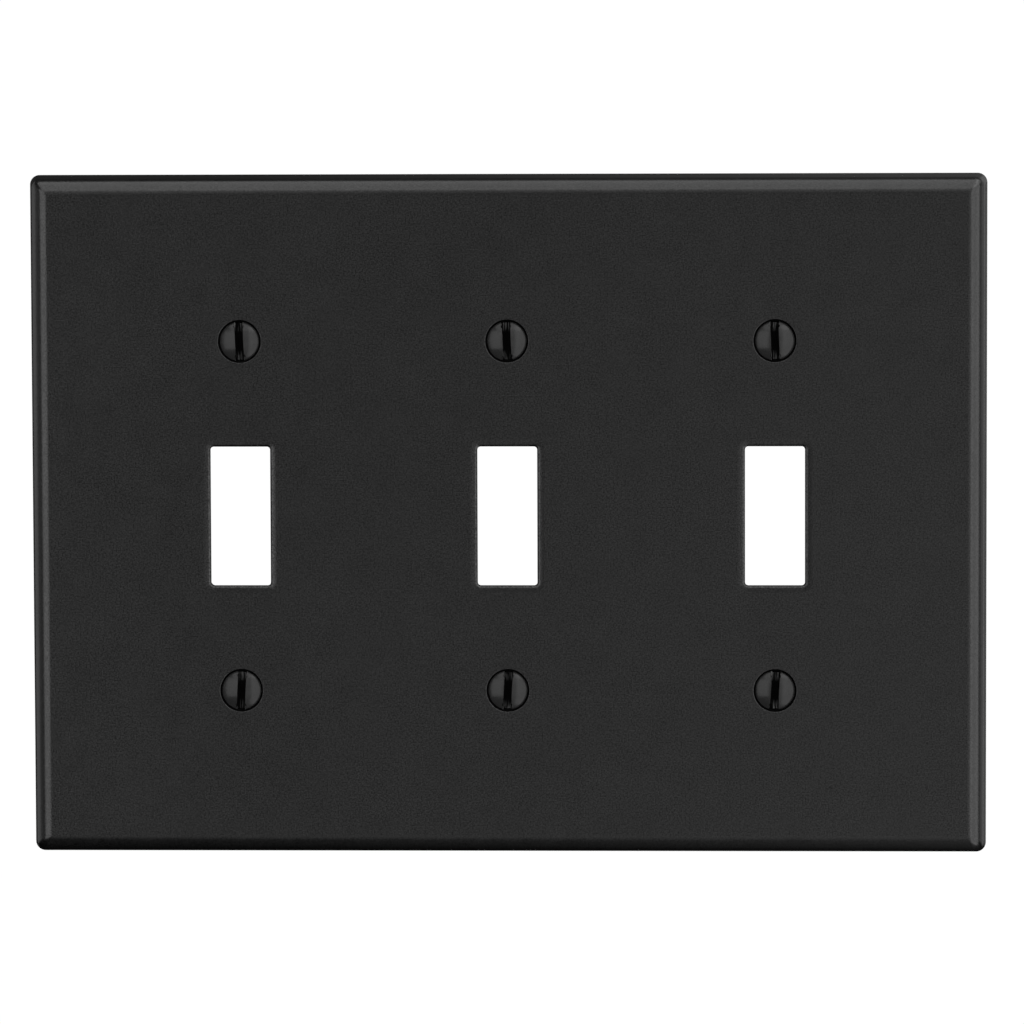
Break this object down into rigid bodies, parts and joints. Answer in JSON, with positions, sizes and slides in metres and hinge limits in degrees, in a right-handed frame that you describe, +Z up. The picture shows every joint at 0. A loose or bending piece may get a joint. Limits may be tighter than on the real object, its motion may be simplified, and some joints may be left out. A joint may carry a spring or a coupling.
{
  "type": "wall plate cover",
  "caption": "Rectangular switch wall plate with rolled edges, toggle openings in a row and seated slotted oval-head screws.",
  "frame": {"origin": "middle of the plate's outline, on the wall plane that the back rim rests on", "axes": "+X across the plate to the right as seen from the room, +Z up, +Y into the wall"},
  "size_m": [0.165, 0.0137, 0.1174],
  "materials": {
    "plate_plastic": "fine matte texture, black, moulded in",
    "screw_metal": "satin black enamel on steel"
  },
  "bodies": {
    "plate": {"wall_plate": "plate_plastic"},
    "screw_top_left": {"screw_top_left": "screw_metal"},
    "screw_top_middle": {"screw_top_middle": "screw_metal"},
    "screw_top_right": {"screw_top_right": "screw_metal"},
    "screw_bottom_left": {"screw_bottom_left": "screw_metal"},
    "screw_bottom_middle": {"screw_bottom_middle": "screw_metal"},
    "screw_bottom_right": {"screw_bottom_right": "screw_metal"}
  },
  "joints": [
    {"name": "screw_top_left_draw", "type": "slide", "parent": "plate", "child": "screw_top_left", "axis": [0, -1, 0], "range_m": [0, 0.015]},
    {"name": "screw_top_middle_draw", "type": "slide", "parent": "plate", "child": "screw_top_middle", "axis": [0, -1, 0], "range_m": [0, 0.015]},
    {"name": "screw_top_right_draw", "type": "slide", "parent": "plate", "child": "screw_top_right", "axis": [0, -1, 0], "range_m": [0, 0.015]},
    {"name": "screw_bottom_left_draw", "type": "slide", "parent": "plate", "child": "screw_bottom_left", "axis": [0, -1, 0], "range_m": [0, 0.015]},
    {"name": "screw_bottom_middle_draw", "type": "slide", "parent": "plate", "child": "screw_bottom_middle", "axis": [0, -1, 0], "range_m": [0, 0.015]},
    {"name": "screw_bottom_right_draw", "type": "slide", "parent": "plate", "child": "screw_bottom_right", "axis": [0, -1, 0], "range_m": [0, 0.015]}
  ]
}
